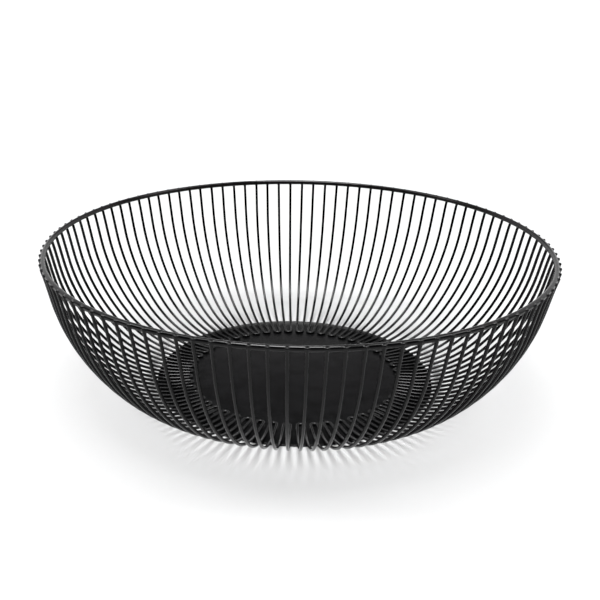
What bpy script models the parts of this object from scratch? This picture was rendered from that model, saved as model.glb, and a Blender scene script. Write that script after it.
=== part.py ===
"""Metal fruit bowl: a rim ring, a fan of formed wires and a base plate.

A formed wire is a hairpin with two legs, each in an upright plane through the
bowl's axis. From the top a leg has a straight leaning flank, a wide bend, a
tighter bend and a straight foot, and a small bend joins the two feet. The tops
lap the outer side of the rim ring, and the feet lie on the base plate.
The origin is the middle of the plate's underside, with +Z up, in metres.
"""

import math

import bpy

# Rim ring
RIM_RADIUS = 0.190
RIM_BAR_RADIUS = 0.0020
RIM_BAR_SIDES = 8

# Formed wires
WIRE_COUNT = 54
LEGS_PER_WIRE = 2
WIRE_RADIUS = 0.00115
TOP_RISE = 0.0017
FLANK_LENGTH = 0.033
FLANK_LEAN = math.radians(16.1)
BENDS_MEET = math.radians(45.0)
FOOT_LEAN = math.radians(90.0)
WIDE_BEND_RADIUS = 0.128
TIGHT_BEND_RADIUS = 0.079
FOOT_LENGTH = 0.011
WIDE_BEND_STEPS = 3
TIGHT_BEND_STEPS = 3
FOOT_BEND_STEPS = 3

# Base plate
PLATE_THICKNESS = 0.0015
PLATE_EDGE_CHAMFER = 0.0005
PLATE_REACH = 0.014
PLATE_STEPS = 54

# Gap that welded pieces keep between their faces
SEAT_GAP = 0.0003

# Worked out from the sizes above
LEG_COUNT = WIRE_COUNT * LEGS_PER_WIRE
LEG_PITCH = 2 * math.pi / LEG_COUNT
FOOT_HEIGHT = PLATE_THICKNESS + SEAT_GAP + WIRE_RADIUS
LEG_OFFSET = (RIM_BAR_RADIUS + SEAT_GAP + WIRE_RADIUS) / math.cos(FLANK_LEAN)
FOOT_START_RADIUS = (
    RIM_RADIUS
    + LEG_OFFSET
    - FLANK_LENGTH * math.sin(FLANK_LEAN)
    - WIDE_BEND_RADIUS * (math.cos(FLANK_LEAN) - math.cos(BENDS_MEET))
    - TIGHT_BEND_RADIUS * (math.cos(BENDS_MEET) - math.cos(FOOT_LEAN))
)
FOOT_END_RADIUS = FOOT_START_RADIUS - FOOT_LENGTH
PLATE_RADIUS = FOOT_START_RADIUS + PLATE_REACH
RIM_HEIGHT = (
    FOOT_HEIGHT
    + FLANK_LENGTH * math.cos(FLANK_LEAN)
    + WIDE_BEND_RADIUS * (math.sin(BENDS_MEET) - math.sin(FLANK_LEAN))
    + TIGHT_BEND_RADIUS * (math.sin(FOOT_LEAN) - math.sin(BENDS_MEET))
)

COAT_COLOUR = (0.018, 0.018, 0.020, 1.0)
COAT_ROUGHNESS = 0.42
COAT_METALLIC = 0.0


def clear_scene():
    """Remove every object, so that the file holds the bowl alone."""
    for old in list(bpy.data.objects):
        bpy.data.objects.remove(old, do_unlink=True)


def coat_material(name):
    """Black powder coat."""
    material = bpy.data.materials.new(name)
    material.use_nodes = True
    shader = material.node_tree.nodes["Principled BSDF"]
    shader.inputs["Base Color"].default_value = COAT_COLOUR
    shader.inputs["Roughness"].default_value = COAT_ROUGHNESS
    shader.inputs["Metallic"].default_value = COAT_METALLIC
    material.diffuse_color = COAT_COLOUR
    return material


def move_to(collection, piece):
    """Keep a piece in the bowl's own collection only."""
    for owner in list(piece.users_collection):
        owner.objects.unlink(piece)
    collection.objects.link(piece)


def bend(start, radius, lean_from, lean_to, steps):
    """Points after start on a bend, as (distance from the axis, height).

    A lean is the angle between the leg and the upright, and the bend turns
    the leg inwards from the first lean to the second.
    """
    points = []
    for step in range(1, steps + 1):
        lean = lean_from + (lean_to - lean_from) * step / steps
        inward = radius * (math.cos(lean_from) - math.cos(lean))
        down = radius * (math.sin(lean) - math.sin(lean_from))
        points.append((start[0] - inward, start[1] - down))
    return points


def leg_outline():
    """Centreline of one leg, from its top to the end of its foot."""
    at_rim = RIM_RADIUS + LEG_OFFSET
    top = (at_rim + TOP_RISE * math.tan(FLANK_LEAN), RIM_HEIGHT + TOP_RISE)
    flank_end = (
        at_rim - FLANK_LENGTH * math.sin(FLANK_LEAN),
        RIM_HEIGHT - FLANK_LENGTH * math.cos(FLANK_LEAN),
    )
    outline = [top, flank_end]
    outline += bend(flank_end, WIDE_BEND_RADIUS, FLANK_LEAN, BENDS_MEET, WIDE_BEND_STEPS)
    outline += bend(outline[-1], TIGHT_BEND_RADIUS, BENDS_MEET, FOOT_LEAN, TIGHT_BEND_STEPS)
    outline.append((FOOT_END_RADIUS, FOOT_HEIGHT))
    return outline


def leg_points(azimuth):
    """The leg's outline, stood up in its own plane through the bowl's axis."""
    return [
        (radius * math.cos(azimuth), radius * math.sin(azimuth), height)
        for radius, height in leg_outline()
    ]


def foot_bend_points():
    """Points between the ends of the two feet, on a bend that both run into."""
    half_pitch = LEG_PITCH / 2
    middle = FOOT_END_RADIUS / math.cos(half_pitch)
    radius = FOOT_END_RADIUS * math.tan(half_pitch)
    points = []
    for step in range(1, FOOT_BEND_STEPS):
        turn = half_pitch + (math.pi - LEG_PITCH) * step / FOOT_BEND_STEPS
        inward = radius * math.sin(turn)
        across = -radius * math.cos(turn)
        points.append((middle - inward, across, FOOT_HEIGHT))
    return points


def wire_curve():
    """One hairpin of round wire with closed ends, its middle towards +X."""
    curve = bpy.data.curves.new("formed_wire", "CURVE")
    curve.dimensions = "3D"
    curve.bevel_depth = WIRE_RADIUS
    curve.bevel_resolution = 1
    curve.use_fill_caps = True
    path = leg_points(-LEG_PITCH / 2)
    path += foot_bend_points()
    path += reversed(leg_points(LEG_PITCH / 2))
    spline = curve.splines.new("POLY")
    spline.points.add(len(path) - 1)
    for point, place in zip(spline.points, path):
        point.co = (*place, 1.0)
    return curve


def formed_wires(collection):
    """The hairpins side by side all round the bowl."""
    curve = wire_curve()
    curve.materials.append(coat_material("wire_coat"))
    for index in range(WIRE_COUNT):
        wire = bpy.data.objects.new(f"formed_wire_{index + 1:02d}", curve)
        first_leg = index * LEGS_PER_WIRE * LEG_PITCH
        wire.rotation_euler.z = first_leg + LEG_PITCH / 2
        collection.objects.link(wire)


def rim_ring(collection):
    """Round bar bent into the ring that carries the tops of the wires."""
    bpy.ops.mesh.primitive_torus_add(
        major_segments=LEG_COUNT,
        minor_segments=RIM_BAR_SIDES,
        major_radius=RIM_RADIUS,
        minor_radius=RIM_BAR_RADIUS,
        location=(0, 0, RIM_HEIGHT),
    )
    ring = bpy.context.object
    ring.name = "rim_ring"
    ring.data.name = "rim_ring"
    ring.data.shade_smooth()
    ring.data.materials.append(coat_material("rim_coat"))
    move_to(collection, ring)


def plate_outline():
    """Right half of the plate's section, down its outer side."""
    inner = PLATE_RADIUS - PLATE_EDGE_CHAMFER
    upper = PLATE_THICKNESS - PLATE_EDGE_CHAMFER
    return [
        (0, PLATE_THICKNESS),
        (inner, PLATE_THICKNESS),
        (PLATE_RADIUS, upper),
        (PLATE_RADIUS, PLATE_EDGE_CHAMFER),
        (inner, 0),
        (0, 0),
    ]


def base_plate(collection):
    """Flat turned disc on which the bowl stands, under the feet and the bends above them."""
    mesh = bpy.data.meshes.new("base_plate")
    outline = [(radius, 0, height) for radius, height in plate_outline()]
    edges = [(index, index + 1) for index in range(len(outline) - 1)]
    mesh.from_pydata(outline, edges, [])
    mesh.materials.append(coat_material("plate_coat"))
    plate = bpy.data.objects.new("base_plate", mesh)
    collection.objects.link(plate)
    turn = plate.modifiers.new("turn", "SCREW")
    turn.axis = "Z"
    turn.angle = 2 * math.pi
    turn.steps = PLATE_STEPS
    turn.render_steps = PLATE_STEPS
    turn.use_merge_vertices = True
    turn.merge_threshold = 0.00001
    turn.use_smooth_shade = False


def build():
    """Make the whole bowl in a collection of its own."""
    clear_scene()
    collection = bpy.data.collections.new("metal_fruit_bowl")
    bpy.context.scene.collection.children.link(collection)
    rim_ring(collection)
    formed_wires(collection)
    base_plate(collection)


build()
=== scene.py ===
"""Looks of the black wire bowl: round bars, welds, powder coat, floor, light and camera.

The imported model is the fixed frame. Every solid of it gives way to a smooth piece
of the same size in the same place: the rim bar, the hairpin wires and the base
disc. The weld beads between them are made here alone. Lengths are in metres.
"""

import logging
import math
import random
from collections.abc import Callable, Iterable, Sequence
from dataclasses import dataclass, field
from enum import Enum

import bpy
from mathutils import Matrix, Vector, noise

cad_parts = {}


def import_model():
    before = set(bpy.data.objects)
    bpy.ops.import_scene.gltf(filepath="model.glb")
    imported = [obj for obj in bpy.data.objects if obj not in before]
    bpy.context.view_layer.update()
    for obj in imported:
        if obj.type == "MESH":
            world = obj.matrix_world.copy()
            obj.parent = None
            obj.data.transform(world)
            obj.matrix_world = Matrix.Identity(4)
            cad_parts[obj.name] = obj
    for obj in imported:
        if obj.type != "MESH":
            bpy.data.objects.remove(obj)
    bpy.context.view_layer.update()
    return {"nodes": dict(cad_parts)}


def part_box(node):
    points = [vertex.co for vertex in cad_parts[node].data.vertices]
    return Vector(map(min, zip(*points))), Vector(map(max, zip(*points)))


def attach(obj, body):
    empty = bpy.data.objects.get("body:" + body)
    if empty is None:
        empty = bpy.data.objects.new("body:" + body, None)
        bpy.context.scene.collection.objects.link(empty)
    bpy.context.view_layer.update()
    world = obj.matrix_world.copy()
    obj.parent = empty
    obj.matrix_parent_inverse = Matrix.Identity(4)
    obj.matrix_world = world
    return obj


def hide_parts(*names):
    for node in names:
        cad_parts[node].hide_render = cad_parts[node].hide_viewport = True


LOG = logging.getLogger("wire_bowl")
BODY = "root"
FULL_TURN = 2 * math.pi
PHOTO_WIDTH_PX = 600
MM = 0.001
LEGS_PER_WIRE = 2
UP = Vector((0, 0, 1))

Point = tuple[float, float, float]
Colour = tuple[float, float, float]
Faces = list[tuple[int, ...]]
Solid = tuple[list[Point], Faces]
Patch = tuple[list[Vector], Faces]
Pair = tuple[float, float]
Outline = list[Pair]
Station = tuple[Vector, float]
Distance = Callable[[Vector], float]


class Slot(Enum):
    """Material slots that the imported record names."""

    RIM = "rim_coat"
    WIRE = "wire_coat"
    PLATE = "plate_coat"


def make_piece(name: str, points: Sequence[Point], faces: Faces) -> bpy.types.Object:
    """Make a smooth mesh object and put it in the scene.

    Args:
        name: name of the piece.
        points: its corners in the frame.
        faces: lists of corner numbers, turning left as seen from outside.

    Returns:
        The new object.
    """
    mesh = bpy.data.meshes.new(name)
    mesh.from_pydata(points, [], faces)
    mesh.validate()
    mesh.shade_smooth()
    piece = bpy.data.objects.new(name, mesh)
    bpy.context.scene.collection.objects.link(piece)
    return piece


def skin(rings: Sequence[Sequence[int]], closed: bool = False) -> Faces:
    """Join rings of corners with four-sided faces.

    Args:
        rings: equal rings of corner numbers, each turning left round its way on.
        closed: whether the last ring joins the first.

    Returns:
        The faces between each ring and the next.
    """
    faces: Faces = []
    count = len(rings)
    for index in range(count if closed else count - 1):
        here, there = rings[index], rings[(index + 1) % count]
        sides = len(here)
        for side in range(sides):
            after = (side + 1) % sides
            faces.append((here[side], here[after], there[after], there[side]))
    return faces


@dataclass(frozen=True)
class BarSizes:
    """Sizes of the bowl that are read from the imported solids."""

    rim_radius: float
    rim_bar_radius: float
    rim_height: float
    plate_radius: float
    plate_thickness: float

    @classmethod
    def from_frame(cls) -> "BarSizes":
        """Read the ring's and the plate's sizes from their boxes.

        Returns:
            The sizes.
        """
        ring_low, ring_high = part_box("rim_ring")
        plate_low, plate_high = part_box("base_plate")
        bar_radius = (ring_high.z - ring_low.z) / 2
        return cls(
            rim_radius=ring_high.x - bar_radius,
            rim_bar_radius=bar_radius,
            rim_height=(ring_high.z + ring_low.z) / 2,
            plate_radius=plate_high.x,
            plate_thickness=plate_high.z - plate_low.z,
        )


def eased(share: float) -> float:
    """Run smoothly from 0 to 1 as share does, level at both ends."""
    share = min(max(share, 0.0), 1.0)
    return share * share * (3 - 2 * share)


def bend(start: Pair, radius: float, leans: Pair, steps: int) -> Outline:
    """Points after start on a round bend.

    Args:
        start: where the bend begins, as (distance from the axis, height).
        radius: radius of the centreline.
        leans: angles to the upright at the start and at the end.
        steps: number of equal steps.

    Returns:
        The points, the last of them at the bend's end.
    """
    points = []
    for step in range(1, steps + 1):
        lean = leans[0] + (leans[1] - leans[0]) * step / steps
        inward = radius * (math.cos(leans[0]) - math.cos(lean))
        down = radius * (math.sin(lean) - math.sin(leans[0]))
        points.append((start[0] - inward, start[1] - down))
    return points


@dataclass
class HairpinWires:
    """The 54 hairpins of round wire that stand round the bowl.

    The welds have pressed the tops into the rim bar and the feet onto the disc.
    """

    sizes: BarSizes
    count: int = 54
    wire_radius: float = 1.15 * MM
    seat_gap: float = 0.3 * MM
    top_rise: float = 1.7 * MM
    flank_length: float = 33 * MM
    flank_lean: float = math.radians(16.1)
    bends_meet: float = math.radians(45.0)
    foot_lean: float = math.radians(90.0)
    wide_bend_radius: float = 128 * MM
    tight_bend_radius: float = 79 * MM
    foot_length: float = 11 * MM
    rim_sink: float = 1.6 * MM
    rim_sink_run: float = 34 * MM
    foot_sink: float = 0.5 * MM
    foot_sink_run: float = 26 * MM
    end_height: float = 1.1 * MM
    end_steps: int = 7
    end_flat: float = 0.12
    sides: int = 16
    flank_steps: int = 9
    wide_bend_steps: int = 12
    tight_bend_steps: int = 18
    foot_steps: int = 3
    foot_bend_steps: int = 12
    stray: float = 0.3 * MM
    bow: float = 0.3 * MM
    seed: int = 5
    strays: list[float] = field(default_factory=list)
    bows: list[float] = field(default_factory=list)

    def __post_init__(self) -> None:
        """Draw how far each leg strays from its even place."""
        chance = random.Random(self.seed)
        for _ in range(self.leg_count):
            self.strays.append(self.stray * chance.uniform(-1, 1))
            self.bows.append(self.bow * chance.uniform(-1, 1))

    @property
    def leg_count(self) -> int:
        """Number of legs, two to a hairpin."""
        return LEGS_PER_WIRE * self.count

    @property
    def pitch(self) -> float:
        """Angle between two legs."""
        return FULL_TURN / self.leg_count

    @property
    def bar_level(self) -> float:
        """Distance from the rim bar's centreline to a leg's, before they were welded."""
        return self.sizes.rim_bar_radius + self.seat_gap + self.wire_radius

    @property
    def rim_level(self) -> float:
        """Distance from the rim bar's centreline to a leg's, as they were welded."""
        return self.bar_level - self.rim_sink

    @property
    def foot_level(self) -> float:
        """Distance from the disc's top to a foot's centreline, as they were welded."""
        return self.seat_gap + self.wire_radius - self.foot_sink

    def leg_outline(self) -> Outline:
        """Centreline of a leg, from its top to the end of its foot.

        Returns:
            Its points, as (distance from the axis, height).
        """
        lean = self.flank_lean
        rim_height = self.sizes.rim_height
        at_rim = self.sizes.rim_radius + self.bar_level / math.cos(lean)
        outline = [(at_rim + self.top_rise * math.tan(lean), rim_height + self.top_rise)]
        for step in range(self.flank_steps + 1):
            run = self.flank_length * step / self.flank_steps
            outline.append((at_rim - run * math.sin(lean), rim_height - run * math.cos(lean)))
        wide, tight = (lean, self.bends_meet), (self.bends_meet, self.foot_lean)
        outline += bend(outline[-1], self.wide_bend_radius, wide, self.wide_bend_steps)
        outline += bend(outline[-1], self.tight_bend_radius, tight, self.tight_bend_steps)
        foot_start, foot_height = outline[-1]
        for step in range(1, self.foot_steps + 1):
            outline.append((foot_start - self.foot_length * step / self.foot_steps, foot_height))
        return self.pressed(outline)

    def pressed(self, outline: Outline) -> Outline:
        """Move the outline's top into the rim bar and its foot onto the disc.

        Args:
            outline: the centreline as it was bent.

        Returns:
            The centreline as it was welded.
        """
        inward = self.rim_sink / math.cos(self.flank_lean)
        runs = [0.0]
        for here, there in zip(outline, outline[1:]):
            runs.append(runs[-1] + math.dist(here, there))
        welded = []
        for (reach, height), run in zip(outline, runs):
            at_top = eased(1 - (run - self.top_rise) / self.rim_sink_run)
            at_foot = eased(1 - (runs[-1] - run - self.foot_length) / self.foot_sink_run)
            welded.append((reach - inward * at_top, height - self.foot_sink * at_foot))
        return welded

    def leg_points(self, outline: Outline, leg: int) -> list[Vector]:
        """Stand the outline up at one leg's place.

        Args:
            outline: centreline of a leg.
            leg: number of the leg, counted left from +X.

        Returns:
            Its points in the frame, from top to foot.
        """
        top, foot = outline[0], outline[-1]
        points = []
        for reach, height in outline:
            share = min((height - foot[1]) / (top[1] - foot[1]), 1.0)
            aside = self.strays[leg] * share + self.bows[leg] * math.sin(math.pi * share)
            turn = self.pitch * leg + aside / self.sizes.rim_radius
            points.append(Vector((reach * math.cos(turn), reach * math.sin(turn), height)))
        return points

    def path(self, outline: Outline, wire: int) -> list[Vector]:
        """Centreline of one hairpin, from the top of one leg to that of the next.

        Args:
            outline: centreline of a leg.
            wire: number of the hairpin, counted left from +X.

        Returns:
            Its points in the frame.
        """
        first_leg = LEGS_PER_WIRE * wire
        right = self.leg_points(outline, first_leg)
        left = self.leg_points(outline, first_leg + 1)
        half_pitch = self.pitch / 2
        end, height = outline[-1]
        middle = end / math.cos(half_pitch)
        radius = end * math.tan(half_pitch)
        face = Matrix.Rotation(self.pitch * first_leg + half_pitch, 3, "Z")
        curl = []
        for step in range(1, self.foot_bend_steps):
            turn = half_pitch + (math.pi - self.pitch) * step / self.foot_bend_steps
            place = Vector((middle - radius * math.sin(turn), -radius * math.cos(turn), height))
            curl.append(face @ place)
        return right + curl + left[::-1]

    def rounded_end(self, end: Vector, towards: Vector) -> list[Station]:
        """Round off one cut end, domed by grinding and coat.

        Args:
            end: the end of the centreline.
            towards: the next point of the centreline.

        Returns:
            Points and radii from the end inwards.
        """
        way = (towards - end).normalized()
        stations = []
        for step in range(self.end_steps + 1):
            turn = self.end_flat + (math.pi / 2 - self.end_flat) * step / self.end_steps
            depth = self.end_height * (1 - math.cos(turn))
            stations.append((end + way * depth, self.wire_radius * math.sin(turn)))
        return stations

    def stations(self, path: list[Vector]) -> list[Station]:
        """Give the path's points their radii, with rounded cut ends.

        Args:
            path: centreline of the hairpin.

        Returns:
            Points and radii from end to end.
        """
        first = self.rounded_end(path[0], path[1])
        last = self.rounded_end(path[-1], path[-2])
        body = [(point, self.wire_radius) for point in path[1:-1]]
        return first + body + last[::-1]

    def tube(self, stations: list[Station]) -> Solid:
        """Sweep a round section along the stations.

        Args:
            stations: points and radii from end to end.

        Returns:
            The corners and the faces, with flat caps at both ends.
        """
        points: list[Point] = []
        rings = []
        centres = [station[0] for station in stations]
        side = centres[0].cross(UP).normalized()
        for index, (centre, radius) in enumerate(stations):
            before = centres[max(index - 1, 0)]
            after = centres[min(index + 1, len(centres) - 1)]
            way = (after - before).normalized()
            side = (side - way * side.dot(way)).normalized()
            other = way.cross(side)
            ring = []
            for step in range(self.sides):
                turn = FULL_TURN * step / self.sides
                ring.append(len(points))
                reach = radius * (math.cos(turn) * side + math.sin(turn) * other)
                points.append(tuple(centre + reach))
            rings.append(ring)
        faces = skin(rings)
        faces.append(tuple(reversed(rings[0])))
        faces.append(tuple(rings[-1]))
        return points, faces

    def build(self) -> list[bpy.types.Object]:
        """Make every hairpin in the place of its solid.

        Returns:
            The pieces, counted left from +X.
        """
        outline = self.leg_outline()
        wires = []
        for index in range(self.count):
            points, faces = self.tube(self.stations(self.path(outline, index)))
            wire = make_piece(f"wire_{index + 1:02d}", points, faces)
            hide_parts(f"formed_wire_{index + 1:02d}")
            wires.append(wire)
        return wires


@dataclass
class RimBar:
    """The round bar that is bent into the rim."""

    sizes: BarSizes
    turn_steps: int = 432
    sides: int = 24

    def build(self) -> bpy.types.Object:
        """Make the ring in the place of its solid.

        Returns:
            The piece.
        """
        points: list[Point] = []
        rings = []
        for step in range(self.turn_steps):
            turn = FULL_TURN * step / self.turn_steps
            ring = []
            for side in range(self.sides):
                angle = FULL_TURN * side / self.sides
                reach = self.sizes.rim_radius + self.sizes.rim_bar_radius * math.cos(angle)
                height = self.sizes.rim_height + self.sizes.rim_bar_radius * math.sin(angle)
                ring.append(len(points))
                points.append((reach * math.cos(turn), reach * math.sin(turn), height))
            rings.append(ring[::-1])
        bar = make_piece("rim_bar", points, skin(rings, closed=True))
        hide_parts("rim_ring")
        return bar


@dataclass
class BaseDisc:
    """The flat disc under the feet, with its edge rolled round."""

    sizes: BarSizes
    edge_round: float = 0.6 * MM
    edge_steps: int = 5
    turn_steps: int = 216
    face_rings: int = 10

    def outline(self) -> Outline:
        """Half of the disc's section, from the top's middle round the edge to the bottom's.

        Returns:
            Its points without the two middles, as (distance from the axis, height).
        """
        radius, thickness = self.sizes.plate_radius, self.sizes.plate_thickness
        edge = self.edge_round
        top = [(radius * step / self.face_rings, thickness) for step in range(1, self.face_rings)]
        bottom = [(reach, 0.0) for reach, _ in reversed(top)]
        corner_top, corner_bottom = [], []
        for step in range(self.edge_steps + 1):
            turn = math.pi / 2 * step / self.edge_steps
            reach = radius - edge + edge * math.sin(turn)
            corner_top.append((reach, thickness - edge + edge * math.cos(turn)))
            corner_bottom.append((reach, edge - edge * math.cos(turn)))
        return top + corner_top + corner_bottom[::-1] + bottom

    def build(self) -> bpy.types.Object:
        """Make the disc in the place of its solid.

        Returns:
            The piece.
        """
        outline = self.outline()
        points: list[Point] = []
        rings = []
        for reach, height in outline:
            ring = []
            for step in range(self.turn_steps):
                turn = FULL_TURN * step / self.turn_steps
                ring.append(len(points))
                points.append((reach * math.cos(turn), reach * math.sin(turn), height))
            rings.append(ring[::-1])
        faces = skin(rings)
        top_middle, bottom_middle = len(points), len(points) + 1
        points += [(0.0, 0.0, self.sizes.plate_thickness), (0.0, 0.0, 0.0)]
        for step in range(self.turn_steps):
            after = (step + 1) % self.turn_steps
            faces.append((top_middle, rings[0][after], rings[0][step]))
            faces.append((bottom_middle, rings[-1][step], rings[-1][after]))
        disc = make_piece("base_disc", points, faces)
        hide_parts("base_plate")
        return disc


def bar_distance(radius: float) -> Distance:
    """Distance of a point from a long bar along Y through the middle."""
    return lambda point: math.hypot(point.x, point.z) - radius


def sheet_distance() -> Distance:
    """Distance of a point above a wide sheet whose top is at height zero."""
    return lambda point: point.z


def wire_distance(tip: Vector, way: Vector, radius: float, end_height: float) -> Distance:
    """Distance of a point from a wire that begins with a domed end.

    Args:
        tip: the end's outermost point.
        way: the wire's way from there.
        radius: radius of the wire.
        end_height: length of the dome.

    Returns:
        The function that measures it.
    """

    def distance(point: Vector) -> float:
        """Measure one point.

        Args:
            point: where to measure.

        Returns:
            The distance, negative inside the wire.
        """
        run = (point - tip).dot(way)
        aside = (point - tip - way * run).length
        past = max(end_height - run, 0.0) * radius / end_height
        return math.hypot(aside, past) - radius

    return distance


@dataclass(frozen=True)
class Bead:
    """A weld: a skin that flows from one bar or sheet onto the wire on it.

    The skin is found along rays. It lies just inside both pieces, and comes out
    of them only where it fills the hollow between them.
    """

    carrier: Distance
    wire: Distance
    fill: float
    tuck: float = 0.03 * MM
    roughness: float = 0.05 * MM
    blend: float = 4.0
    ray_length: float = 7 * MM
    march_steps: int = 28
    halvings: int = 18

    def gap(self, point: Vector, fill: float, lump: Vector) -> float:
        """Distance of a point from the filled pair.

        Args:
            point: where to measure.
            fill: how far from the hollow the filling begins.
            lump: offset into the noise that makes each weld its own.

        Returns:
            The distance, negative inside.
        """
        first, second = self.carrier(point) + self.tuck, self.wire(point) + self.tuck
        near = max(fill - abs(first - second), 0.0)
        filled = min(first, second) - near * near / max(self.blend * fill, self.tuck)
        ripple = noise.noise(point / MM + lump) * self.roughness
        return filled - ripple * near / self.fill

    def hit(self, start: Vector, way: Vector, fill: float, lump: Vector) -> Vector:
        """Find where a ray from inside the pair leaves it for the last time.

        Args:
            start: where the ray begins.
            way: its way, of unit length.
            fill: how far from the hollow the filling begins.
            lump: offset into the noise.

        Returns:
            The point.
        """
        far = self.ray_length
        near = 0.0
        for step in range(self.march_steps, 0, -1):
            reach = self.ray_length * step / self.march_steps
            if self.gap(start + way * reach, fill, lump) < 0:
                near = reach
                break
            far = reach
        for _ in range(self.halvings):
            middle = (near + far) / 2
            if self.gap(start + way * middle, fill, lump) < 0:
                near = middle
            else:
                far = middle
        return start + way * near


def patch_solid(outer: list[list[Vector]], inner: list[list[Vector]]) -> Patch:
    """Close a grid of outer points with a like grid of inner ones.

    Args:
        outer: rows of points on the visible side.
        inner: rows of points behind them.

    Returns:
        The corners and the faces of a closed body.
    """
    points: list[Vector] = []
    rings = []
    for front, back in zip(outer, inner):
        loop = front + back[::-1]
        rings.append(list(range(len(points), len(points) + len(loop))))
        points += loop
    faces = skin(rings)
    width = len(outer[0])
    for ring, turned in ((rings[0], True), (rings[-1], False)):
        for step in range(width - 1):
            face = (ring[step], ring[step + 1], ring[-2 - step], ring[-1 - step])
            faces.append(face[::-1] if turned else face)
    return points, faces


@dataclass
class Welds:
    """Weld beads at the rim and at the feet."""

    wires: HairpinWires
    kinds: int = 6
    fill: float = 0.95 * MM
    fill_range: float = 0.2
    rim_half_width: float = 2.4 * MM
    rim_angles: tuple[float, float] = (math.radians(-68), math.radians(118))
    rim_rows: int = 18
    rim_columns: int = 18
    lower_fade_share: float = 0.25
    foot_reach: float = 88.5 * MM
    foot_half_length: float = 3.4 * MM
    foot_half_width: float = 2.2 * MM
    foot_lead_share: float = 4.0
    foot_rows: int = 14
    foot_columns: int = 16
    core: float = 0.6 * MM
    lump_step: float = 10.0
    seed: int = 11

    def rim_weld(self, fill: float, lump: Vector) -> Patch:
        """Make one weld at the rim, with the bar along Y and outwards along X.

        Args:
            fill: how far the filling spreads.
            lump: offset into the noise.

        Returns:
            Its corners about the bar's centre, and its faces.
        """
        wires = self.wires
        lean = wires.flank_lean
        down = Vector((-math.sin(lean), 0, -math.cos(lean)))
        crossing = Vector((wires.rim_level / math.cos(lean), 0, 0))
        end = crossing - down * (wires.top_rise / math.cos(lean))
        wire = wire_distance(end, down, wires.wire_radius, wires.end_height)
        bead = Bead(bar_distance(wires.sizes.rim_bar_radius), wire, self.fill)
        outer, inner = [], []
        low, high = self.rim_angles
        for row in range(self.rim_rows + 1):
            share = row / self.rim_rows
            angle = low + (high - low) * share
            way = Vector((math.cos(angle), 0, math.sin(angle)))
            row_fill = fill * eased(share / self.lower_fade_share)
            front, back = [], []
            for column in range(self.rim_columns + 1):
                aside = self.rim_half_width * (2 * column / self.rim_columns - 1)
                start = Vector((0, aside, 0))
                front.append(bead.hit(start, way, row_fill, lump))
                back.append(start + way * self.core)
            outer.append(front)
            inner.append(back)
        return patch_solid(outer, inner)

    def foot_weld(self, fill: float, lump: Vector) -> Patch:
        """Make one weld at a foot, with the foot along X and the disc's top at zero.

        Args:
            fill: how far the filling spreads.
            lump: offset into the noise.

        Returns:
            Its corners about the middle of the weld, and its faces.
        """
        wires = self.wires
        start = Vector((-self.foot_half_length * self.foot_lead_share, 0, wires.foot_level))
        wire = wire_distance(start, Vector((1, 0, 0)), wires.wire_radius, wires.end_height)
        bead = Bead(sheet_distance(), wire, self.fill)
        outer, inner = [], []
        for row in range(self.foot_rows + 1):
            share = 2 * row / self.foot_rows - 1
            row_fill = fill * math.sqrt(1 - share * share)
            front, back = [], []
            for column in range(self.foot_columns + 1):
                aside = self.foot_half_width * (1 - 2 * column / self.foot_columns)
                place = Vector((self.foot_half_length * share, aside, -self.core))
                front.append(bead.hit(place, UP, row_fill, lump))
                back.append(place)
            outer.append(front)
            inner.append(back)
        return patch_solid(outer, inner)

    def gather(self, name: str, beads: Iterable[tuple[Matrix, Patch]]) -> bpy.types.Object:
        """Join beads into one piece.

        Args:
            name: name of the piece.
            beads: the place of each bead, and its corners and faces.

        Returns:
            The new object.
        """
        points: list[Point] = []
        faces: Faces = []
        for place, (bead_points, bead_faces) in beads:
            first = len(points)
            points += [tuple(place @ point) for point in bead_points]
            faces += [tuple(first + corner for corner in face) for face in bead_faces]
        return make_piece(name, points, faces)

    def build(self) -> list[bpy.types.Object]:
        """Make the beads at every leg's top and foot.

        Returns:
            The welds at the rim and those at the feet.
        """
        chance = random.Random(self.seed)
        sizes = self.wires.sizes
        rim_kinds, foot_kinds = [], []
        for kind in range(self.kinds):
            fill = self.fill * (1 + self.fill_range * chance.uniform(-1, 1))
            lump = Vector((kind * self.lump_step, 0, 0))
            rim_kinds.append(self.rim_weld(fill, lump))
            foot_kinds.append(self.foot_weld(fill, lump))
        at_rim = Matrix.Translation((sizes.rim_radius, 0, sizes.rim_height))
        at_foot = Matrix.Translation((self.foot_reach, 0, sizes.plate_thickness))
        rim_beads, foot_beads = [], []
        for leg in range(self.wires.leg_count):
            even = self.wires.pitch * leg
            turn = even + self.wires.strays[leg] / sizes.rim_radius
            rim_beads.append((Matrix.Rotation(turn, 4, "Z") @ at_rim, chance.choice(rim_kinds)))
            foot_beads.append((Matrix.Rotation(even, 4, "Z") @ at_foot, chance.choice(foot_kinds)))
        rim_welds = self.gather("rim_welds", rim_beads)
        foot_welds = self.gather("foot_welds", foot_beads)
        return [rim_welds, foot_welds]


class Mixed(Enum):
    """What a Mix node mixes: its data type, and the ending of its sockets' identifiers."""

    VALUE = ("FLOAT", "Float")
    COLOUR = ("RGBA", "Color")


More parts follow.
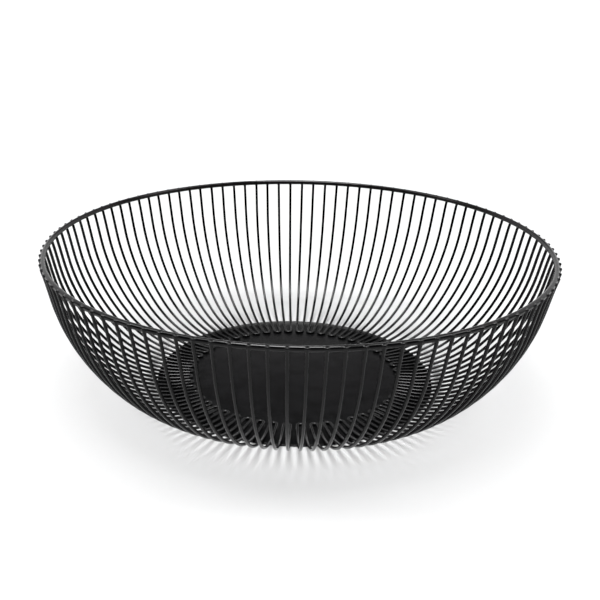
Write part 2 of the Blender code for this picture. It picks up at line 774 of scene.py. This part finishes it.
class Bench:
    """Short calls that lay out the nodes of one tree."""

    def __init__(self, tree: bpy.types.NodeTree) -> None:
        """Keep the tree."""
        self.tree = tree

    def add(self, kind: str, **settings: object) -> bpy.types.Node:
        """Add a node.

        Args:
            kind: Blender's name of the node's type.
            settings: its properties, by name.

        Returns:
            The node.
        """
        node = self.tree.nodes.new(kind)
        for name, value in settings.items():
            setattr(node, name, value)
        return node

    def give(self, socket: bpy.types.NodeSocket, value: object) -> None:
        """Set or link one input.

        Args:
            socket: the input.
            value: a value or an output socket.
        """
        if isinstance(value, bpy.types.NodeSocket):
            self.tree.links.new(value, socket)
        else:
            socket.default_value = value

    def feed(self, node: bpy.types.Node, **inputs: object) -> bpy.types.Node:
        """Set or link a node's inputs.

        Args:
            node: the node.
            inputs: a value or an output socket for each input, by its name with _ for a space.

        Returns:
            The node.
        """
        for name, value in inputs.items():
            self.give(node.inputs[name.replace("_", " ")], value)
        return node

    def maths(self, operation: str, *values: object) -> bpy.types.NodeSocket:
        """Add a Math node and give back its output.

        Args:
            operation: Blender's name of the sum.
            values: a number or an output socket for each input.

        Returns:
            The result's socket.
        """
        node = self.add("ShaderNodeMath", operation=operation)
        for socket, value in zip(node.inputs, values):
            self.give(socket, value)
        return node.outputs[0]

    def mix(self, kind: Mixed, factor: object, first: object, second: object) -> bpy.types.NodeSocket:
        """Mix two values or colours.

        Args:
            kind: which of the two is mixed.
            factor: 0 for the first, 1 for the second.
            first: a value or an output socket.
            second: a value or an output socket.

        Returns:
            The result's socket.
        """
        data_type, ending = kind.value
        node = self.add("ShaderNodeMix", data_type=data_type)
        inputs = {socket.identifier: socket for socket in node.inputs}
        outputs = {socket.identifier: socket for socket in node.outputs}
        self.give(inputs["Factor_Float"], factor)
        self.give(inputs[f"A_{ending}"], first)
        self.give(inputs[f"B_{ending}"], second)
        return outputs[f"Result_{ending}"]

    def ramp(self, value: bpy.types.NodeSocket, low: object, high: object) -> bpy.types.NodeSocket:
        """Turn a value into a soft step.

        Args:
            value: the value's socket.
            low: where the step is 0, as a number or an output socket.
            high: where it is 1.

        Returns:
            The step's socket.
        """
        node = self.add("ShaderNodeMapRange", interpolation_type="SMOOTHSTEP")
        self.feed(node, Value=value, From_Min=low, From_Max=high)
        return node.outputs["Result"]

    def speckle(self, place: object, scale: object, detail: float) -> bpy.types.NodeSocket:
        """Add noise.

        Args:
            place: output socket of the place in space.
            scale: how many lumps there are to a metre.
            detail: how many finer layers of noise are added.

        Returns:
            The socket of its value.
        """
        node = self.add("ShaderNodeTexNoise")
        self.feed(node, Vector=place, Scale=scale, Detail=detail)
        return node.outputs["Fac"]

    def place_group(self, group: bpy.types.NodeTree) -> bpy.types.Node:
        """Put a node group into the tree.

        Args:
            group: the group.

        Returns:
            The node that stands for it.
        """
        node = self.add("ShaderNodeGroup")
        node.node_tree = group
        return node


SOCKET_BY_LENGTH = {1: "NodeSocketFloat", 3: "NodeSocketVector", 4: "NodeSocketColor"}


def opaque(colour: Colour) -> tuple[float, float, float, float]:
    """Add full opacity to a colour."""
    return (*colour, 1.0)


def new_group(
    name: str,
    inputs: dict[str, object],
    outputs: dict[str, str],
) -> tuple[Bench, dict[str, bpy.types.NodeSocket], bpy.types.Node]:
    """Start a shader node group.

    Args:
        name: name of the group.
        inputs: for each input, its value at first, which also says of what kind it is.
        outputs: for each output, the kind of its socket.

    Returns:
        A bench on the group, its input sockets by name, and the node that takes the outputs.
    """
    tree = bpy.data.node_groups.new(name, "ShaderNodeTree")
    for title, value in inputs.items():
        length = 1 if isinstance(value, float) else len(value)
        kind = SOCKET_BY_LENGTH[length]
        socket = tree.interface.new_socket(title, in_out="INPUT", socket_type=kind)
        socket.default_value = value
    for title, kind in outputs.items():
        tree.interface.new_socket(title, in_out="OUTPUT", socket_type=kind)
    bench = Bench(tree)
    entry = bench.add("NodeGroupInput")
    return bench, {socket.name: socket for socket in entry.outputs}, bench.add("NodeGroupOutput")


def coat_grain() -> bpy.types.NodeTree:
    """Make the group for the height of baked powder, slow waves under a fine tooth.

    Returns:
        The group.
    """
    peel_detail, tooth_detail = 1.0, 2.0
    inputs = {
        "Place": (0.0, 0.0, 0.0),
        "Peel Size": 1.6 * MM,
        "Tooth Size": 0.28 * MM,
        "Tooth Share": 0.25,
    }
    bench, given, result = new_group("coat_grain", inputs, {"Height": "NodeSocketFloat"})
    peel_scale = bench.maths("DIVIDE", 1.0, given["Peel Size"])
    tooth_scale = bench.maths("DIVIDE", 1.0, given["Tooth Size"])
    peel = bench.speckle(given["Place"], peel_scale, peel_detail)
    tooth = bench.speckle(given["Place"], tooth_scale, tooth_detail)
    peel_share = bench.maths("SUBTRACT", 1.0, given["Tooth Share"])
    peel_part = bench.maths("MULTIPLY", peel, peel_share)
    tooth_part = bench.maths("MULTIPLY", tooth, given["Tooth Share"])
    bench.feed(result, Height=bench.maths("ADD", peel_part, tooth_part))
    return bench.tree


def coat_tone() -> bpy.types.NodeTree:
    """Make the group for colour and gloss, uneven as the powder lay thick or thin.

    Returns:
        The group.
    """
    patch_detail, patch_low, patch_high = 4.0, 0.35, 0.65
    fine_detail, fine_scale = 2.0, 17.0
    mean = 0.5
    inputs = {
        "Place": (0.0, 0.0, 0.0),
        "Patch Size": 14 * MM,
        "Thick Colour": (0.0013, 0.0013, 0.0014, 1.0),
        "Thin Colour": (0.0022, 0.0022, 0.0024, 1.0),
        "Gloss Roughness": 0.11,
        "Dull Roughness": 0.17,
    }
    outputs = {"Colour": "NodeSocketColor", "Roughness": "NodeSocketFloat"}
    bench, given, result = new_group("coat_tone", inputs, outputs)
    scale = bench.maths("DIVIDE", 1.0, given["Patch Size"])
    lumps = bench.speckle(given["Place"], scale, patch_detail)
    patch = bench.ramp(lumps, patch_low, patch_high)
    fine = bench.speckle(given["Place"], bench.maths("MULTIPLY", scale, fine_scale), fine_detail)
    colour = bench.mix(Mixed.COLOUR, patch, given["Thick Colour"], given["Thin Colour"])
    dullness = bench.maths("MULTIPLY", bench.maths("ADD", patch, fine), mean)
    spread = bench.maths("SUBTRACT", given["Dull Roughness"], given["Gloss Roughness"])
    roughness = bench.maths("MULTIPLY_ADD", dullness, spread, given["Gloss Roughness"])
    bench.feed(result, Colour=colour, Roughness=roughness)
    return bench.tree


def coat_rub() -> bpy.types.NodeTree:
    """Make the group for the mask of what hands, tables and cloths have rubbed.

    Returns:
        The group.
    """
    streak_detail, edge_width = 5.0, 0.2
    inputs = {
        "Place": (0.0, 0.0, 0.0),
        "Normal": (0.0, 0.0, 1.0),
        "Rubbed Way": (0.0, 0.0, 1.0),
        "Begins": 0.6,
        "Full": 0.98,
        "Streak Size": 5 * MM,
        "Patchiness": 0.55,
    }
    bench, given, result = new_group("coat_rub", inputs, {"Mask": "NodeSocketFloat"})
    facing = bench.add("ShaderNodeVectorMath", operation="DOT_PRODUCT")
    bench.give(facing.inputs[0], given["Normal"])
    bench.give(facing.inputs[1], given["Rubbed Way"])
    crest = bench.ramp(facing.outputs["Value"], given["Begins"], given["Full"])
    scale = bench.maths("DIVIDE", 1.0, given["Streak Size"])
    streaks = bench.speckle(given["Place"], scale, streak_detail)
    patch_full = bench.maths("ADD", given["Patchiness"], edge_width)
    patches = bench.ramp(streaks, given["Patchiness"], patch_full)
    bench.feed(result, Mask=bench.maths("MULTIPLY", crest, patches))
    return bench.tree


@dataclass(frozen=True)
class CoatKit:
    """The node groups that every finish on the bowl is made from."""

    grain: bpy.types.NodeTree
    tone: bpy.types.NodeTree
    rub: bpy.types.NodeTree

    @classmethod
    def build(cls) -> "CoatKit":
        """Make each group once."""
        return cls(coat_grain(), coat_tone(), coat_rub())


@dataclass(frozen=True)
class PowderCoat:
    """Satin black powder coat, with its peel, its uneven gloss and its wear."""

    name: str
    thick_colour: Colour = (0.0013, 0.0013, 0.0014)
    thin_colour: Colour = (0.0022, 0.0022, 0.0024)
    rubbed_colour: Colour = (0.0040, 0.0040, 0.0042)
    gloss_roughness: float = 0.11
    dull_roughness: float = 0.17
    rubbed_roughness: float = 0.09
    specular_level: float = 0.20
    patch_size: float = 14 * MM
    peel_size: float = 1.6 * MM
    tooth_size: float = 0.28 * MM
    tooth_share: float = 0.25
    peel_height: float = 0.014 * MM
    rubbed_way: Point = (0.0, 0.0, 1.0)
    rub_begins: float = 0.6
    streak_size: float = 5 * MM
    patchiness: float = 0.5

    def tone(self, bench: Bench, kit: CoatKit, place: bpy.types.NodeSocket) -> bpy.types.Node:
        """Place the group for colour and gloss.

        Args:
            bench: the material's bench.
            kit: the shared node groups.
            place: output socket of the place in space.

        Returns:
            The group's node.
        """
        return bench.feed(
            bench.place_group(kit.tone),
            Place=place,
            Patch_Size=self.patch_size,
            Thick_Colour=opaque(self.thick_colour),
            Thin_Colour=opaque(self.thin_colour),
            Gloss_Roughness=self.gloss_roughness,
            Dull_Roughness=self.dull_roughness,
        )

    def rub(self, bench: Bench, kit: CoatKit, place: bpy.types.NodeSocket) -> bpy.types.Node:
        """Place the group for the rubbed places.

        Args:
            bench: the material's bench.
            kit: the shared node groups.
            place: output socket of the place in space.

        Returns:
            The group's node.
        """
        return bench.feed(
            bench.place_group(kit.rub),
            Place=place,
            Normal=bench.add("ShaderNodeNewGeometry").outputs["Normal"],
            Rubbed_Way=self.rubbed_way,
            Begins=self.rub_begins,
            Streak_Size=self.streak_size,
            Patchiness=self.patchiness,
        )

    def grain(self, bench: Bench, kit: CoatKit, place: bpy.types.NodeSocket) -> bpy.types.Node:
        """Place the group for the coat's height.

        Args:
            bench: the material's bench.
            kit: the shared node groups.
            place: output socket of the place in space.

        Returns:
            The group's node.
        """
        return bench.feed(
            bench.place_group(kit.grain),
            Place=place,
            Peel_Size=self.peel_size,
            Tooth_Size=self.tooth_size,
            Tooth_Share=self.tooth_share,
        )

    def build(self, kit: CoatKit) -> bpy.types.Material:
        """Make the material.

        Args:
            kit: the shared node groups.

        Returns:
            The material.
        """
        material = bpy.data.materials.new(self.name)
        material.use_nodes = True
        bench = Bench(material.node_tree)
        shader = material.node_tree.nodes["Principled BSDF"]
        place = bench.add("ShaderNodeTexCoord").outputs["Object"]
        tone = self.tone(bench, kit, place)
        mask = self.rub(bench, kit, place).outputs["Mask"]
        height = self.grain(bench, kit, place).outputs["Height"]
        rubbed = opaque(self.rubbed_colour)
        colour = bench.mix(Mixed.COLOUR, mask, tone.outputs["Colour"], rubbed)
        gloss = bench.mix(Mixed.VALUE, mask, tone.outputs["Roughness"], self.rubbed_roughness)
        bump = bench.feed(bench.add("ShaderNodeBump"), Distance=self.peel_height, Height=height)
        bench.feed(
            shader,
            Base_Color=colour,
            Roughness=gloss,
            Specular_IOR_Level=self.specular_level,
            Normal=bump.outputs["Normal"],
        )
        return material


COATS = {
    Slot.RIM: PowderCoat("rim_powder"),
    Slot.WIRE: PowderCoat("wire_powder"),
    Slot.PLATE: PowderCoat(
        "plate_powder",
        gloss_roughness=0.20,
        dull_roughness=0.26,
        rubbed_roughness=0.18,
        specular_level=0.12,
        peel_size=2.4 * MM,
        peel_height=0.003 * MM,
        streak_size=22 * MM,
    ),
}


@dataclass(frozen=True)
class PhotoCamera:
    """The photograph's camera, fitted to the rim, the wires and the outline."""

    standoff: float = 0.64368
    height: float = 0.32407
    turn: float = math.radians(1.157)
    yaw: float = math.radians(3.052)
    pitch: float = math.radians(-21.849)
    roll: float = math.radians(0.122)
    focal_px: float = 881.9
    middle_shift_px: float = 48.19
    sensor: float = 36.0

    def build(self) -> bpy.types.Object:
        """Make the camera and give it to the scene.

        Returns:
            The camera.
        """
        lens = bpy.data.cameras.new("photo_camera")
        lens.sensor_width = self.sensor
        lens.lens = self.focal_px / PHOTO_WIDTH_PX * self.sensor
        lens.shift_x = self.middle_shift_px / PHOTO_WIDTH_PX
        camera = bpy.data.objects.new("photo_camera", lens)
        place = Matrix.Translation((0, -self.standoff, self.height))
        stand = Matrix.Rotation(self.turn, 4, "Z") @ place
        tilt = Matrix.Rotation(math.pi / 2 + self.pitch, 4, "X")
        aim = Matrix.Rotation(self.yaw, 4, "Z") @ tilt
        camera.matrix_world = stand @ aim @ Matrix.Rotation(self.roll, 4, "Z")
        bpy.context.scene.collection.objects.link(camera)
        bpy.context.scene.camera = camera
        return camera


@dataclass
class Studio:
    """The pale floor, the soft lamp overhead and the room that the coat mirrors.

    The room's light depends on the direction alone, as the X, Y and Z of a line of unit
    length. Of each pair of numbers, the first is where a soft edge is 0 and the second
    where it is 1.
    """

    floor_half: float = 9.0
    floor_colour: Colour = (0.375, 0.375, 0.377)
    floor_roughness: float = 0.8
    floor_specular: float = 0.0
    light_lean_front: float = math.radians(6.0)
    light_lean_left: float = math.radians(3.0)
    light_width: float = math.radians(30.0)
    light_strength: float = 5.8
    light_colour: Colour = (1.0, 1.0, 1.0)
    backdrop: float = 1.0
    dark: float = 0.008
    bright: float = 1.15
    behind: Pair = (0.05, 0.45)
    strip_middle: float = 0.8
    strip_ends: float = 10.0
    strip_length: Pair = (0.92, 0.70)
    strip_turn: Pair = (0.16, 0.34)
    strip_width: Pair = (0.16, 0.06)
    strip_back: float = 0.03
    gap: float = 0.97
    gap_sides: Pair = (0.36, 0.22)
    gap_foot: Pair = (0.32, 0.40)
    gap_head: Pair = (0.85, 0.65)

    def floor(self) -> bpy.types.Object:
        """Make the floor.

        Returns:
            The floor.
        """
        half = self.floor_half
        corners = [(-half, -half, 0.0), (half, -half, 0.0), (half, half, 0.0), (-half, half, 0.0)]
        floor = make_piece("floor", corners, [(0, 1, 2, 3)])
        material = bpy.data.materials.new("floor_paint")
        material.use_nodes = True
        Bench(material.node_tree).feed(
            material.node_tree.nodes["Principled BSDF"],
            Base_Color=opaque(self.floor_colour),
            Roughness=self.floor_roughness,
            Specular_IOR_Level=self.floor_specular,
        )
        floor.data.materials.append(material)
        return floor

    def lamp(self) -> bpy.types.Object:
        """Make the wide soft lamp over the bowl.

        Returns:
            The lamp.
        """
        lamp = bpy.data.lights.new("soft_light", "SUN")
        lamp.angle = self.light_width
        lamp.energy = self.light_strength
        light = bpy.data.objects.new("soft_light", lamp)
        lean_front = Matrix.Rotation(self.light_lean_front, 4, "X")
        light.matrix_world = lean_front @ Matrix.Rotation(-self.light_lean_left, 4, "Y")
        bpy.context.scene.collection.objects.link(light)
        return light

    def wall(self, bench: Bench, way: bpy.types.Node) -> bpy.types.NodeSocket:
        """Light the room's walls: white behind, dark in front, with a gap that the disc mirrors.

        Args:
            bench: the world's bench.
            way: node that puts out the X, Y and Z of the direction.

        Returns:
            The socket of the light's strength.
        """
        behind = bench.ramp(way.outputs["Y"], *self.behind)
        aside = bench.ramp(bench.maths("ABSOLUTE", way.outputs["X"]), *self.gap_sides)
        above = bench.ramp(way.outputs["Z"], *self.gap_foot)
        below = bench.ramp(way.outputs["Z"], *self.gap_head)
        gap = bench.maths("MULTIPLY", bench.maths("MULTIPLY", aside, above), below)
        lit = bench.maths("MULTIPLY", behind, bench.maths("MULTIPLY_ADD", gap, -self.gap, 1.0))
        return bench.maths("MULTIPLY_ADD", lit, self.bright - self.dark, self.dark)

    def strip(
        self,
        bench: Bench,
        way: bpy.types.Node,
        wall: bpy.types.NodeSocket,
    ) -> bpy.types.NodeSocket:
        """Add the long strip of light overhead, which is brighter towards its ends.

        Args:
            bench: the world's bench.
            way: node that puts out the X, Y and Z of the direction.
            wall: output socket of the walls' light.

        Returns:
            The socket of the strength of both.
        """
        off_side = bench.maths("ABSOLUTE", way.outputs["X"])
        along = bench.ramp(off_side, *self.strip_length)
        ends = bench.ramp(off_side, *self.strip_turn)
        strength = bench.maths("MULTIPLY_ADD", ends, self.strip_ends, self.strip_middle)
        off_middle = bench.maths("SUBTRACT", way.outputs["Y"], self.strip_back)
        across = bench.ramp(bench.maths("ABSOLUTE", off_middle), *self.strip_width)
        strip = bench.maths("MULTIPLY", along, across)
        return bench.maths("MULTIPLY_ADD", strip, strength, wall)

    def world(self) -> bpy.types.World:
        """Make the room round the floor, plain white where the camera looks at it.

        Returns:
            The world.
        """
        world = bpy.data.worlds.new("studio")
        bpy.context.scene.world = world
        world.use_nodes = True
        bench = Bench(world.node_tree)
        background = world.node_tree.nodes["Background"]
        direction = bench.add("ShaderNodeTexCoord").outputs["Generated"]
        way = bench.feed(bench.add("ShaderNodeSeparateXYZ"), Vector=direction)
        level = self.strip(bench, way, self.wall(bench, way))
        seen = bench.add("ShaderNodeLightPath").outputs["Is Camera Ray"]
        room = bench.mix(Mixed.VALUE, seen, level, self.backdrop)
        bench.feed(background, Color=opaque(self.light_colour), Strength=room)
        return world

    def build(self) -> None:
        """Make the floor, the lamp and the room's light."""
        self.floor()
        self.lamp()
        self.world()
        bpy.context.scene.view_settings.view_transform = "Standard"


def main() -> None:
    """Load the frame, dress the bowl and set up the studio."""
    logging.basicConfig(level=logging.INFO, format="%(message)s")
    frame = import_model()
    LOG.info("%d solids in the frame", len(frame["nodes"]))
    PhotoCamera().build()
    sizes = BarSizes.from_frame()
    wires = HairpinWires(sizes)
    kit = CoatKit.build()
    coats = {slot: coat.build(kit) for slot, coat in COATS.items()}
    rim_welds, foot_welds = Welds(wires).build()
    pieces = {
        Slot.RIM: [RimBar(sizes).build(), rim_welds],
        Slot.WIRE: wires.build(),
        Slot.PLATE: [BaseDisc(sizes).build(), foot_welds],
    }
    for slot, group in pieces.items():
        for piece in group:
            piece.data.materials.append(coats[slot])
            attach(piece, BODY)
            LOG.info("%s: %d faces", piece.name, len(piece.data.polygons))
    Studio().build()


if __name__ == "__main__":
    main()
